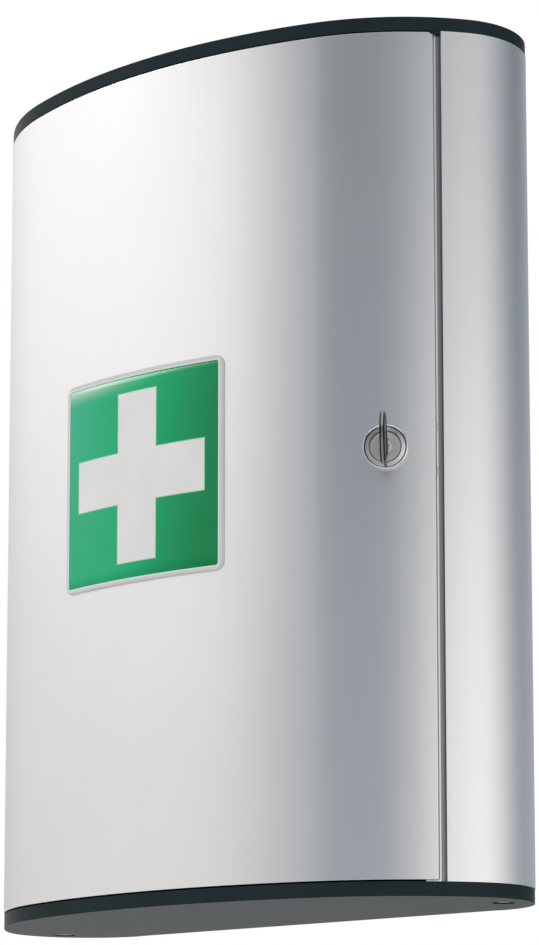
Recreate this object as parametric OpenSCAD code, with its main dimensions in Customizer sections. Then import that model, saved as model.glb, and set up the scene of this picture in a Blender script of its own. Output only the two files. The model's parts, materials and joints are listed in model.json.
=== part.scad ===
// Lockable medicine cabinet for a wall. The origin is on the wall, at the centre of the four wall holes.
// X runs to the viewer's right, Y into the wall and Z up, in millimetres.
// Every plan outline is a chain of tangent arcs: front, shoulder and end. A depth is measured inwards,
// square to the outer face. Plan angles run from +X, so straight out of the wall is -90.

/* [Cabinet] */
// Width over the rounded ends
cab_w = 302; // [280:1:380]
// Height over both caps
cab_h = 400; // [340:1:480]
// Depth from the wall to the crown of the door
cab_d = 118; // [108:1:132]
// Radius of the two shoulders of the outline
shoulder_r = 112; // [106:1:124]
// Radius of the two ends, which run into the wall face
end_r = 39; // [37:1:42]
// Half angle that the flat front arc covers
front_sweep = 18.3; // [16:0.1:20]

/* [Door] */
// Thickness of the door skin
skin_t = 1.6; // [1.2:0.1:2]
// Angle of the door's free edge from straight out
seam_angle = 47.3; // [46:0.1:49]
// Open seam between the door and the side profile
seam_gap = 3.1; // [2:0.1:4]
// Bevel on the door's free edge
edge_bevel = 0.9; // [0.3:0.1:1.2]
// Gap between the door and each cap
door_gap = 0.75; // [0.5:0.05:1.2]
// Angle at which the door's tail ends on the left end arc, from +X
tail_angle = 136; // [134:1:140]
// Depth of the moulded door ends below the skin's edge
door_end_h = 9; // [7:0.5:12]
// Width of the moulded door ends, measured inwards
door_end_w = 14; // [12:0.5:18]
// Wall of the moulded door ends
door_end_wall = 2.2; // [1.6:0.1:3]
// Bore of the screw channels
channel_bore = 3.8; // [3:0.1:4.4]
// Wall of the screw channels
channel_wall = 1.3; // [1:0.1:2]

/* [Hinge] */
// Distance of the pivot from the outer face at the left end
pivot_depth = 13.65; // [13.2:0.05:14.2]
// Direction of the pivot from the centre of the left end arc
pivot_dir = 158; // [156:1:160]
// Diameter of the hinge pins
pin_d = 6; // [4:0.5:7]
// Length of the pins below the cap's inner face
pin_len = 14; // [10:1:20]
// Wall of the hinge bushes
bush_wall = 1.6; // [1.2:0.1:2]
// Running clearance of pins, plug and bushes, on the radius
run_clear = 0.05; // [0.03:0.01:0.08]

/* [Housing] */
// Thickness of the back panel
back_t = 1.5; // [1:0.1:2]
// Thickness of the extruded side profile
profile_t = 1.8; // [1.4:0.1:2.4]
// Depth of the rebate lip's outer face
lip_depth = 2.6; // [2.4:0.1:3.2]
// Reach of the rebate lip under the door
lip_reach = 6; // [5:0.5:9]
// Angle at which the back panel's left lip ends, from +X
back_lip_angle = 130; // [126:1:132]
// Width of the rear flange that laps behind the back panel
flange_w = 13; // [10:1:18]
// Spacing of the wall holes across
wall_hole_x = 160; // [120:5:170]
// Spacing of the wall holes upwards
wall_hole_z = 300; // [240:5:320]
// Diameter of the wall holes
wall_hole_d = 6; // [4:0.5:8]

/* [Caps] */
// Visible height of each cap
cap_h = 6.5; // [5.5:0.5:10]
// How far the caps stand back from the skin
cap_inset = 0.3; // [0:0.1:0.6]
// Wall of the caps
cap_wall = 2.5; // [2:0.1:3]
// Rounding of the cap's outer edge
cap_edge_r = 0.8; // [0.3:0.1:1.5]
// Reach of the cap's spigot into the housing
spigot_h = 10; // [8:1:16]
// Thickness of the spigot
spigot_t = 2.2; // [1.6:0.1:3]
// Thickness of the cap's ribs
rib_t = 1.4; // [1:0.1:2]

/* [Shelves] */
// Sheet thickness of the shelves
shelf_t = 1.2; // [1:0.1:1.6]
// Gap between the shelf's front edge and the door's face
shelf_back = 10.5; // [10:0.5:16]
// Height of the shelf's raised front edge
shelf_edge_h = 12; // [6:1:20]
// Height of the shelf's rear flange
shelf_flange_h = 14; // [10:1:20]
// Distance of each shelf above and below the middle
shelf_z = 62; // [50:1:90]

/* [Lock] */
// Angle of the lock's axis from straight out
lock_angle = 35.5; // [34.5:0.1:36]
// Height of the lock's axis above the middle
lock_z = 0; // [-12:1:12]
// Diameter of the lock's flange
lock_flange_d = 20.4; // [19:0.1:23]
// Diameter of the lock's barrel
barrel_d = 16; // [15:0.5:17]
// Reach of the barrel behind the flange
barrel_len = 15; // [13:0.5:17]
// Diameter of the turning plug
plug_d = 12; // [11:0.5:12.5]
// Length of the cam from its axis
cam_len = 27; // [26:0.5:29]
// Width of the cam
cam_w = 12; // [9:0.5:14]
// Thickness of the cam
cam_t = 2; // [1.5:0.1:2.5]
// Step of the cranked cam towards the door
cam_crank = 4.2; // [3:0.1:5]
// Diameter of the key's bow
bow_d = 23; // [18:0.5:26]
// Distance of the bow's centre from the door
bow_reach = 19; // [17:0.5:22]
// Thickness of the key
key_t = 1.8; // [1.4:0.1:2]
// Height of the key's blade
blade_h = 7.6; // [6:0.1:8]
// Length of the blade inside the plug
blade_len = 11; // [8:0.5:12]

/* [Sign] */
// Side of the square sign plate
sign_w = 100; // [80:1:110]
// Thickness of the sign plate
sign_t = 1.1; // [0.8:0.1:2]
// Side of the square field
field_w = 95; // [70:1:104]
// Span of the cross
cross_w = 80; // [50:1:90]
// Width of the cross's bars
bar_w = 24; // [16:1:30]
// Centre of the sign along the face, to the right of the crown
sign_shift = -6; // [-20:1:20]
// Corner radius of the sign plate
sign_corner_r = 4.5; // [2:0.5:8]

/* [Hidden] */
$fn = 128;

// Clearance between fixed pieces that lie against each other
seat = 0.1;
// Clearance of a fastener in its hole, on the radius
hole_clear = 0.05;
// How far a cutting tool reaches past what it cuts
past = 1;
// How far joined solids run into each other
overlap = 0.2;

// Heights
top_z = cab_h / 2;
shell_z = top_z - cap_h;
door_z = shell_z - door_gap;

// Arc chain. The step between the front and shoulder radii closes the chain on the given width and depth.
end_x = cab_w / 2 - end_r;
sweep_s = sin(front_sweep);
sweep_c = 1 - cos(front_sweep);
chain_y = cab_d - shoulder_r - end_r;
chain_a = sweep_s * sweep_s + sweep_c * sweep_c;
chain_b = end_x * sweep_s + chain_y * sweep_c;
chain_c = end_x * end_x + chain_y * chain_y - pow(shoulder_r - end_r, 2);
radius_step = (chain_b - sqrt(chain_b * chain_b - chain_a * chain_c)) / chain_a;
front_r = shoulder_r + radius_step;
front_c = [0, front_r - cab_d];
shoulder_c = [radius_step * sweep_s, front_c.y - radius_step * cos(front_sweep)];
end_c = [end_x, -end_r];
front_from = -90 - front_sweep;
front_to = -90 + front_sweep;
shoulder_to = atan2(end_c.y - shoulder_c.y, end_c.x - shoulder_c.x);
wall_tangent = 90;

function polar(c, r, a) = [c.x + r * cos(a), c.y + r * sin(a)];
function degrees_of(length, r) = length / r * 180 / PI;
function length_of(degrees, r) = degrees * r * PI / 180;
// A right-hand angle as it falls on the left end
function mirrored(a) = -180 - a;
// The angle that lies a length further along the right side than angle a, over the joint of its two arcs
function further(a, length) = angle_at(length + (a < shoulder_to
  ? length_of(a - shoulder_to, shoulder_r)
  : length_of(a - shoulder_to, end_r)));
function angle_at(run) = shoulder_to + degrees_of(run, run < 0 ? shoulder_r : end_r);
// A point of the right side's face, at a depth
function side_point(a, depth) = a < shoulder_to
  ? polar(shoulder_c, shoulder_r - depth, a)
  : polar(end_c, end_r - depth, a);

// Seam
seam_to = -90 + seam_angle;
side_from = further(seam_to, seam_gap);
lip_from = further(seam_to, -lip_reach);
lip_t = 1.6;
wall_step = 2.2;
web_to = further(side_from, wall_step);
profile_step = 1.4;
door_end_gap = 1;
door_end_to = further(lip_from, -door_end_gap);
tail_to = 180 - tail_angle;
back_lip_to = 180 - back_lip_angle;

// Hinge
left_end_c = [-end_c.x, end_c.y];
pivot = polar(left_end_c, end_r - pivot_depth, pivot_dir);
pin_r = pin_d / 2;
head_over = 2;
pin_head_r = pin_r + head_over;
pin_head_h = 2.2;
bush_r = pin_r + run_clear + bush_wall;
bush_len = pin_len - 1;
hinge_boss_wall = 2.6;
hinge_boss_r = bush_r + hinge_boss_wall;
hinge_boss_floor = 1.5;
bush_flange_r = bush_r + head_over;
bush_end_gap = 0.15;
bush_flange_t = door_gap - bush_end_gap;

// Screws: radii of the shank and the head, and the head's height
shank_r = channel_bore / 2 - hole_clear;
head_r = 3;
head_h = 2;
head_room = 0.4;
head_clear = 0.3;
screw_boss_wall = 1.4;
driver_w = 4.4;
driver_t = 0.9;
channel_r = channel_bore / 2 + channel_wall;
channel_in = skin_t + seat + head_r + head_room;
web_w = 2;
web_start = channel_bore / 2 + head_clear;
side_screw = [-pivot.x, pivot.y];
screw_len = 14;
door_screw_grip = 10;
// The caps have the same recess and boss at the side screw as at the hinge pin
recess_r = pin_head_r + head_clear;
recess_wall = 2.3;
flange_gap = 2;
rear_screw_in = 7;
rear_screw_drop = 6;
rear_screw_x = end_x - flange_w - flange_gap - rear_screw_in;
rear_screw_z = shell_z - rear_screw_drop;
rear_shank_r = 1.5;
rear_head_r = 2.8;
rear_head_h = 1.2;
rear_screw_len = 7;
screw_block_w = 9;
screw_block_low = 4;
// Plan angles of the door's screw channels
door_channels = [-63, -90, mirrored(-60), mirrored(-20)];

// Rivets
rivet_r = 1.6;
rivet_head_r = 3;
rivet_head_h = 0.9;
rivet_end = 28.5;
panel_rivet_z = [for (k = [-1, -1 / 3, 1 / 3, 1]) k * (shell_z - rivet_end)];
panel_rivet_x = end_c.x - flange_w / 2;
panel_gap = 0.2;

// Lock. Its local axes are X along the skin to the right, Y up and Z out of the door.
lock_dir = -90 + lock_angle;
lock_point = polar(shoulder_c, shoulder_r, lock_dir);
barrel_r = barrel_d / 2;
barrel_flat = barrel_r - 0.9;
plug_r = plug_d / 2;
plug_face_r = plug_r + 0.75;
flange_r = lock_flange_d / 2;
flange_h = 2;
plug_tail = 0.4;
plug_gap = 0.25;
cam_out = -barrel_len - plug_tail;
tang_w = 7;
nut_seat = shoulder_r - sqrt(pow(shoulder_r - skin_t, 2) - pow(11.6, 2)) + 0.05;
nut_t = 3;
nut_across = 20;
blade_gap = 0.15;

// Keeper
keeper_h = 30;
keeper_gap = 0.4;
keeper_inset = 0.4;
keeper_t = 10;
keeper_rivet_z = 10;
keeper_rivet_grip = 3.4;
keeper_head_h = 0.6;

// Sign
sign_mid = -90 + degrees_of(sign_shift, front_r);
field_t = 0.4;
field_in = sign_t - field_t - 0.05;

// A plan sector from the centre, from angle a to angle b
module wedge(r, a, b) {
  steps = max(1, ceil(abs(b - a) / 40));
  far = r / cos(20) + 5;
  polygon(concat([[0, 0]], [for (k = [0:steps]) polar([0, 0], far, a + (b - a) * k / steps)]));
}

module prism(low, high) {
  translate([0, 0, low]) linear_extrude(high - low) children();
}

module rod(r, low, high) {
  translate([0, 0, low]) cylinder(r = r, h = high - low);
}

// A wall along one arc, from angle a to angle b, between two depths
module arc_wall(c, r, a, b, from, to, low, high) {
  translate(c) prism(low, high)
    intersection() {
      difference() {
        circle(r - from);
        circle(r - to);
      }
      wedge(r - from, a, b);
    }
}

// What an arc adds outside the chord between its ends
module arc_segment(c, r, a, b) {
  from = polar(c, r, a);
  to = polar(c, r, b);
  out = polar([0, 0], r, (a + b) / 2);
  intersection() {
    translate(c) circle(r);
    polygon([from, to, to + out, from + out]);
  }
}

// A solid of the whole plan outline, set in by a depth
module outline_block(depth, low, high) {
  corners = [
    polar(end_c, end_r - depth, wall_tangent),
    polar(end_c, end_r - depth, shoulder_to),
    polar(front_c, front_r - depth, front_to)
  ];
  prism(low, high) polygon(concat(corners, [for (i = [2:-1:0]) [-corners[i].x, corners[i].y]]));
  prism(low, high) arc_segment(front_c, front_r - depth, front_from, front_to);
  for (side = [0, 1]) mirror([side, 0, 0]) {
    prism(low, high) arc_segment(shoulder_c, shoulder_r - depth, front_to, shoulder_to);
    prism(low, high) arc_segment(end_c, end_r - depth, shoulder_to, wall_tangent);
  }
}

// Points along the outline at a depth, in chords that rise by arc_rise. Extruded sections are drawn with them.
arc_rise = 0.04;
function arc_line(c, r, a, b) =
  let (n = ceil(abs(b - a) / (2 * acos(1 - arc_rise / r))))
  [for (k = [0:n]) polar(c, r, a + (b - a) * k / n)];
function joined(first, then) = concat(first, [for (i = [1:len(then) - 1]) then[i]]);
function flipped(points) = [for (i = [len(points) - 1:-1:0]) [-points[i].x, points[i].y]];
function reversed(points) = [for (i = [len(points) - 1:-1:0]) points[i]];
// The right side from angle a to angle b
function side_line(a, b, depth) = b <= shoulder_to ? arc_line(shoulder_c, shoulder_r - depth, a, b)
  : a >= shoulder_to ? arc_line(end_c, end_r - depth, a, b)
  : joined(arc_line(shoulder_c, shoulder_r - depth, a, shoulder_to), arc_line(end_c, end_r - depth, shoulder_to, b));
// The door's run from its free edge round the front to its tail, whose angle is the one that it has when
// mirrored to the right
function door_line(edge, tail, depth) = joined(joined(
  reversed(side_line(front_to, edge, depth)),
  arc_line(front_c, front_r - depth, front_to, front_from)),
  flipped(reversed(side_line(front_to, tail, depth))));

// A wall along the right side, from angle a to angle b, between two depths
module side_wall(a, b, from, to, low, high) {
  prism(low, high) polygon(concat(side_line(a, b, from), reversed(side_line(a, b, to))));
}

// A wall along the door's run, between two depths
module door_wall(edge, tail, from, to, low, high) {
  prism(low, high) polygon(concat(door_line(edge, tail, from), reversed(door_line(edge, tail, to))));
}

// Revolves a profile, drawn as [-depth, z], round one arc of the outline
module sweep_arc(c, r, a, b) {
  translate(c) rotate([0, 0, a]) rotate_extrude(angle = b - a) translate([r, 0]) children();
}

// Carries a profile round every arc of the outline and along its straight back
module sweep_outline() {
  sweep_arc(front_c, front_r, front_from, front_to) children();
  for (side = [0, 1]) mirror([side, 0, 0]) {
    sweep_arc(shoulder_c, shoulder_r, front_to, shoulder_to) children();
    sweep_arc(end_c, end_r, shoulder_to, wall_tangent) children();
  }
  translate([-end_x, 0, 0]) rotate([90, 0, 90]) linear_extrude(2 * end_x) children();
}

module at_lock() {
  translate([lock_point.x, lock_point.y, lock_z]) rotate([90, 0, lock_angle]) children();
}

// Turns a rod's axis to run into the wall, from the point x, z on the wall
module from_wall(x, z) {
  translate([x, 0, z]) rotate([90, 0, 0]) children();
}

// A radial web that carries a screw channel, between two radii round an arc's centre
module web_section(c, a, from, to) {
  side = polar([0, 0], web_w / 2, a + 90);
  near = polar(c, from, a);
  far = polar(c, to, a);
  polygon([near - side, far - side, far + side, near + side]);
}

// Caps
// What the rounding takes off the cap's outer edge
module cap_edge_profile() {
  difference() {
    translate([-cap_inset - cap_edge_r, top_z - cap_edge_r]) square(cap_edge_r + past);
    translate([-cap_inset - cap_edge_r, top_z - cap_edge_r]) circle(cap_edge_r);
  }
}

rib_pitch = 50;
rib_row_pitch = 41;
// Plan angles between which the spigot stands inside the right end
spigot_runs = [[40, 75], [-25, 5]];

module cap_ribs() {
  half = floor(end_x / rib_pitch);
  for (k = [1 - half:half])
    translate([(k - 0.5) * rib_pitch - rib_t / 2, -cab_d, shell_z]) cube([rib_t, cab_d, cap_h]);
  for (k = [1:floor(cab_d / rib_row_pitch)])
    translate([-end_x, -k * rib_row_pitch, shell_z]) cube([2 * end_x, rib_t, cap_h]);
}

module cap() {
  difference() {
    union() {
      difference() {
        outline_block(cap_inset, shell_z, top_z);
        outline_block(cap_inset + cap_wall, shell_z - past, top_z - cap_wall);
        sweep_outline() cap_edge_profile();
      }
      intersection() {
        outline_block(cap_inset + cap_wall / 2, shell_z, top_z - cap_wall / 2);
        cap_ribs();
      }
      // Spigot along the back panel and inside the right end
      translate([-end_x, -back_t - seat - spigot_t, shell_z - spigot_h])
        cube([2 * end_x - flange_w - flange_gap, spigot_t, spigot_h + cap_h - cap_wall / 2]);
      for (run = spigot_runs)
        side_wall(run[0], run[1], profile_t + seat, profile_t + seat + spigot_t,
          shell_z - spigot_h, top_z - cap_wall / 2);
      for (side = [-1, 1])
        translate([
          side * rear_screw_x - screw_block_w / 2, -back_t - seat - rear_screw_len,
          rear_screw_z - screw_block_low
        ])
          cube([screw_block_w, rear_screw_len, top_z - cap_wall - rear_screw_z + screw_block_low]);
      for (place = [pivot, side_screw]) translate(place) rod(recess_r + recess_wall, shell_z, top_z);
    }
    translate(pivot) {
      rod(pin_r + hole_clear, shell_z - past, top_z + past);
      rod(recess_r, top_z - pin_head_h - head_room, top_z + past);
    }
    translate(side_screw) {
      rod(shank_r + hole_clear, shell_z - past, top_z + past);
      rod(recess_r, top_z - head_h - head_room, top_z + past);
    }
    for (side = [-1, 1])
      from_wall(side * rear_screw_x, rear_screw_z)
        rod(rear_shank_r + hole_clear, 0, back_t + rear_screw_len + past);
  }
}

// The lug in the seam that the notch in the door's corner clears
lug_lap = 1.7;
lug_gap = 0.3;
lug_from = further(seam_to, -lug_lap);
lug_to = further(side_from, -lug_gap);
lug_h = 1.2;

module top_cap() {
  color("#3c4248") {
    cap();
    side_wall(lug_from, lug_to, cap_inset + overlap, lip_depth - seat, shell_z - lug_h, shell_z + past);
  }
}

module bottom_cap() {
  color("#3c4248") mirror([0, 0, 1]) cap();
}

// Housing
module panel_rivet_holes(r) {
  for (z = panel_rivet_z) from_wall(panel_rivet_x, z) rod(r, -past, back_t + seat + profile_t + past);
}

module back_panel() {
  color("#c4c7ca") difference() {
    union() {
      translate([-end_x, -back_t, -shell_z])
        cube([2 * end_x - profile_step - panel_gap, back_t, 2 * shell_z]);
      mirror([1, 0, 0]) arc_wall(end_c, end_r, back_lip_to, wall_tangent, 0, back_t, -shell_z, shell_z);
    }
    for (x = [-1, 1], z = [-1, 1])
      from_wall(x * wall_hole_x / 2, z * wall_hole_z / 2) rod(wall_hole_d / 2, -past, back_t + past);
    panel_rivet_holes(rivet_r + hole_clear);
    for (x = shelf_rivet_x, side = [-1, 1])
      from_wall(x, shelf_rivet_height(side)) rod(rivet_r + hole_clear, -past, back_t + past);
    for (x = [-1, 1], z = [-1, 1])
      from_wall(x * rear_screw_x, z * rear_screw_z) {
        rod(rear_shank_r + hole_clear, -past, back_t + past);
        translate([0, 0, -seat / 2]) cylinder(r1 = rear_head_r, r2 = rear_shank_r, h = rear_head_h + seat);
      }
  }
}

// The extrusion's section: outer wall, step behind the back panel, flange that laps it, and rebate lip
module profile_section() {
  flange_in = back_t + seat;
  lip_in = lip_depth + lip_t;
  step_x = end_x + profile_step;
  polygon(concat(
    side_line(side_from, wall_tangent, 0),
    [
      [end_x - profile_step, 0], [end_x - profile_step, -flange_in], [end_x - flange_w, -flange_in],
      [end_x - flange_w, -flange_in - profile_t], [step_x, -flange_in - profile_t]
    ],
    reversed(side_line(web_to, acos(profile_step / (end_r - profile_t)), profile_t)),
    reversed(side_line(lip_from, web_to, lip_in)),
    side_line(lip_from, side_from, lip_depth)
  ));
}

module side_profile() {
  web_dir = 180 - pivot_dir;
  color("#c9ccd0") difference() {
    union() {
      prism(-shell_z, shell_z) profile_section();
      translate(side_screw) rod(channel_r, -shell_z, shell_z);
      prism(-shell_z, shell_z)
        web_section(end_c, web_dir, end_r - pivot_depth + web_start, end_r - profile_t / 2);
    }
    translate(side_screw) rod(channel_bore / 2, -shell_z - past, shell_z + past);
    panel_rivet_holes(rivet_r + hole_clear);
    for (z = [-1, 1] * keeper_rivet_z) at_keeper(z) rod(rivet_r + hole_clear, -lip_depth - 2 * lip_t, 0);
  }
}

// A shank through a stack of the given depth, with a flat-topped dome for its head inside
module rivet(stack) {
  rise = rivet_head_h + seat;
  dome_r = (rivet_head_r * rivet_head_r + rise * rise) / rise / 2;
  rod(rivet_r, seat, stack + overlap);
  translate([0, 0, stack]) rotate_extrude() intersection() {
    translate([0, rise - dome_r]) circle(dome_r);
    square([rivet_head_r + past, rivet_head_h]);
  }
}

module panel_rivets() {
  color("#b8bbbe") for (z = panel_rivet_z) from_wall(panel_rivet_x, z) rivet(back_t + seat + profile_t);
}

// Puts a rod's axis on the lip's normal beside the lock's cam, with Z out of the door
keeper_dir = further(lip_from, (lip_reach + seam_gap) / 2);
module at_keeper(z) {
  p = side_point(keeper_dir, 0);
  translate([p.x, p.y, lock_z + z]) rotate([90, 0, keeper_dir + 90]) children();
}

module lock_keeper() {
  out = lip_depth + lip_t + seat;
  inner = barrel_len + plug_tail - cam_crank - keeper_gap;
  color("#45484c") difference() {
    intersection() {
      side_wall(
        further(lip_from, keeper_inset), further(side_from, -keeper_inset), out, out + keeper_t,
        lock_z - keeper_h / 2, lock_z + keeper_h / 2);
      at_lock() translate([0, -keeper_h, -inner]) cube([shoulder_r, 2 * keeper_h, inner]);
    }
    for (z = [-1, 1] * keeper_rivet_z) at_keeper(z) rod(rivet_r + hole_clear, -out - 2 * keeper_t, 0);
  }
}

module keeper_rivets() {
  color("#b8bbbe") for (z = [-1, 1] * keeper_rivet_z)
    at_keeper(z) {
      rod(rivet_r, -lip_depth - lip_t - seat - keeper_rivet_grip, -lip_depth);
      rod(rivet_head_r - head_room, -lip_depth, -lip_depth + keeper_head_h);
    }
}

module door_buffers() {
  buffer_dir = further(seam_to, -lip_reach / 2);
  p = side_point(buffer_dir, 0);
  color("#2a2c2e") for (z = [-1, 1] * (shell_z - rivet_end))
    translate([p.x, p.y, z]) rotate([90, 0, buffer_dir + 90])
      rod(lip_reach / 2 - keeper_inset, -lip_depth, -skin_t - 2 * seat);
}

// Shelves
function shelf_rivet_height(side) = side * shelf_z - shelf_t - shelf_flange_h / 2;
shelf_gap = 1;
shelf_left = -end_x - shelf_gap;
shelf_out = 12;
shelf_right = end_x + shelf_out;
shelf_inner = end_x - flange_w - flange_gap;
shelf_flange_in = 6;
shelf_rivet_end = 15;
shelf_rivet_x = [shelf_left + shelf_flange_in + shelf_rivet_end, 0, shelf_inner - shelf_rivet_end];

// The shelf's plan at a depth: curved in front, open behind at the given height above the wall
function shelf_plan(depth, rear) = concat(
  door_line(shoulder_to, shoulder_to, depth), [[-end_x - end_r, rear], [end_x + end_r, rear]]);

module shelf(z) {
  rear = back_t + seat;
  side_rear = rear + profile_t + shelf_gap;
  plate_z = z - shelf_t;
  difference() {
    union() {
      intersection() {
        difference() {
          prism(plate_z, z + shelf_edge_h) polygon(shelf_plan(shelf_back, 0));
          prism(z, z + shelf_edge_h + past) polygon(shelf_plan(shelf_back + shelf_t, past));
        }
        // Clear of the side profile's rear flange
        prism(plate_z - past, z + shelf_edge_h + past) polygon([
          [shelf_left, -cab_d], [shelf_right, -cab_d], [shelf_right, -side_rear], [shelf_inner, -side_rear],
          [shelf_inner, -rear], [shelf_left, -rear]
        ]);
      }
      translate([shelf_left + shelf_flange_in, -rear - shelf_t, z - shelf_flange_h])
        cube([shelf_inner - shelf_left - shelf_flange_in, shelf_t, shelf_flange_h - shelf_t / 2]);
    }
    for (x = shelf_rivet_x)
      from_wall(x, plate_z - shelf_flange_h / 2) rod(rivet_r + hole_clear, 0, rear + shelf_t + past);
  }
}

module upper_shelf() {
  color("#d5d8da") shelf(shelf_z);
}

module lower_shelf() {
  color("#d5d8da") shelf(-shelf_z);
}

module shelf_rivets() {
  color("#b8bbbe") for (x = shelf_rivet_x, side = [-1, 1])
    from_wall(x, shelf_rivet_height(side)) rivet(back_t + seat + shelf_t);
}

// Screws and pins
module pan_screw(low, high) {
  difference() {
    union() {
      rod(shank_r, low, high - head_h + overlap);
      rod(head_r, high - head_h, high);
    }
    translate([0, 0, high - driver_t]) for (a = [0, 90]) rotate(a)
      translate([-driver_w / 2, -driver_t / 2, 0]) cube([driver_w, driver_t, head_h]);
  }
}

module cap_screws() {
  translate(side_screw) pan_screw(shell_z - screw_len, top_z - head_room);
  for (side = [-1, 1]) from_wall(side * rear_screw_x, rear_screw_z) {
    rod(rear_shank_r, seat, back_t + rear_screw_len);
    translate([0, 0, seat / 2]) cylinder(r1 = rear_head_r - seat, r2 = rear_shank_r, h = rear_head_h);
  }
}

module cap_screws_top() {
  color("#8d9296") cap_screws();
}

module cap_screws_bottom() {
  color("#8d9296") mirror([0, 0, 1]) cap_screws();
}

module hinge_pin() {
  translate(pivot) {
    rod(pin_r, shell_z - pin_len, top_z - head_room - overlap);
    rod(pin_head_r, top_z - head_room - pin_head_h, top_z - head_room);
  }
}

module hinge_pin_top() {
  color("#9ba0a4") hinge_pin();
}

module hinge_pin_bottom() {
  color("#9ba0a4") mirror([0, 0, 1]) hinge_pin();
}

// Door
channel_low = door_z - door_end_h - seat;
rib_back = 0.8;
door_rib_dirs = [-72, -81, -99, -108];
notch_from = further(lug_from, -lug_gap);
notch_z = shell_z - lug_h - lug_gap;
door_end_tail_gap = 2.7;
door_end_tail = further(tail_to, -door_end_tail_gap);

function channel_arc(a) = a < mirrored(shoulder_to) ? [left_end_c, end_r]
  : a < front_from ? [[-shoulder_c.x, shoulder_c.y], shoulder_r]
  : a < front_to ? [front_c, front_r]
  : [shoulder_c, shoulder_r];

function channel_at(a) = polar(channel_arc(a)[0], channel_arc(a)[1] - channel_in, a);

// A screw channel and its web to the skin
module screw_channel(a, low, high) {
  arc = channel_arc(a);
  translate(channel_at(a)) rod(channel_r, low, high);
  prism(low, high) web_section(arc[0], a, arc[1] - channel_in + web_start, arc[1] - skin_t / 2);
}

// The extrusion's section, with the bevel on its free edge
module skin_section() {
  outer = door_line(further(seam_to, -edge_bevel), tail_to, 0);
  polygon(concat([side_point(seam_to, edge_bevel)], outer, reversed(door_line(seam_to, tail_to, skin_t))));
}

module door_skin() {
  color("#cfd2d6") difference() {
    union() {
      prism(-door_z, door_z) skin_section();
      for (a = door_channels) screw_channel(a, -channel_low, channel_low);
    }
    for (a = door_channels) translate(channel_at(a)) rod(channel_bore / 2, -top_z, top_z);
    // Notch round the cap's lug
    prism(notch_z, top_z) polygon([
      for (corner = [[notch_from, -past], [side_from, -past], [side_from, skin_t + past], [notch_from, skin_t + past]])
        side_point(corner[0], corner[1])
    ]);
    // Hole for the barrel
    at_lock() intersection() {
      rod(barrel_r + seat, -8, 4);
      translate([-barrel_flat - seat, -20, -8]) cube([2 * barrel_flat + 2 * seat, 40, 12]);
    }
  }
}

module door_end() {
  low = door_z - door_end_h;
  in = skin_t + seat;
  out = in + door_end_w;
  difference() {
    union() {
      difference() {
        door_wall(door_end_to, door_end_tail, in, out, low, door_z);
        // Underside, between the ribs and round the screw bosses
        difference() {
          door_wall(
            further(door_end_to, -door_end_wall), further(door_end_tail, -door_end_wall),
            in + door_end_wall, out - door_end_wall, low - past, door_z - door_end_wall);
          translate([front_c.x, front_c.y, low + rib_back]) for (a = door_rib_dirs) rotate([0, 0, a])
            translate([0, -rib_t / 2, 0]) cube([front_r, rib_t, door_end_h]);
          for (a = door_channels)
            translate(channel_at(a)) rod(head_r + screw_boss_wall, low - 2 * past, door_z);
        }
      }
      translate(pivot) rod(hinge_boss_r, door_z - bush_len - hinge_boss_floor, door_z);
    }
    translate(pivot) rod(bush_r + hole_clear, door_z - bush_len - hinge_boss_floor - past, door_z + past);
    for (a = door_channels) translate(channel_at(a)) {
      rod(shank_r + hole_clear, low - past, door_z + past);
      rod(head_r + head_clear, door_z - head_h - head_room, door_z + past);
    }
  }
}

module door_end_top() {
  color("#34393e") door_end();
}

module door_end_bottom() {
  color("#34393e") mirror([0, 0, 1]) door_end();
}

module door_end_screws() {
  for (a = door_channels) translate(channel_at(a))
    pan_screw(door_z - door_end_h - door_screw_grip, door_z - head_room);
}

module door_end_screws_top() {
  color("#8d9296") door_end_screws();
}

module door_end_screws_bottom() {
  color("#8d9296") mirror([0, 0, 1]) door_end_screws();
}

module hinge_bush() {
  translate(pivot) difference() {
    union() {
      rod(bush_r, door_z - bush_len, door_z + bush_flange_t);
      rod(bush_flange_r, door_z, door_z + bush_flange_t);
    }
    rod(pin_r + run_clear, 0, top_z);
  }
}

module hinge_bush_top() {
  color("#e6e4dc") hinge_bush();
}

module hinge_bush_bottom() {
  color("#e6e4dc") mirror([0, 0, 1]) hinge_bush();
}

// Lock
module lock_housing() {
  step = plug_face_r + plug_gap;
  color("#d3d6d8") at_lock() difference() {
    rotate_extrude() polygon([
      [plug_r + run_clear, -barrel_len], [barrel_r, -barrel_len], [barrel_r, 0.02], [flange_r, 0.02],
      [flange_r, flange_h - 0.5], [flange_r - 0.2, flange_h - 0.15], [flange_r - 0.6, flange_h],
      [flange_r - 1, flange_h - 0.15], [flange_r - 1.2, flange_h - 0.5], [step + 0.3, flange_h - 0.15],
      [step, flange_h - 0.3], [step, 0.35], [plug_r + run_clear, 0.35]
    ]);
    for (side = [0, 1]) mirror([side, 0, 0])
      translate([barrel_flat, -20, -20]) cube([10, 40, 20]);
    translate([-0.7, -flange_r + 0.9, flange_h - 0.7]) cube([1.4, flange_r - step - 0.6, 2]);
  }
}

module lock_nut() {
  color("#aeb3b6") at_lock() difference() {
    translate([0, 0, -nut_seat - nut_t]) cylinder(r = nut_across / sqrt(3), h = nut_t, $fn = 6);
    rod(barrel_r + hole_clear, -20, 0);
  }
}

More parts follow.
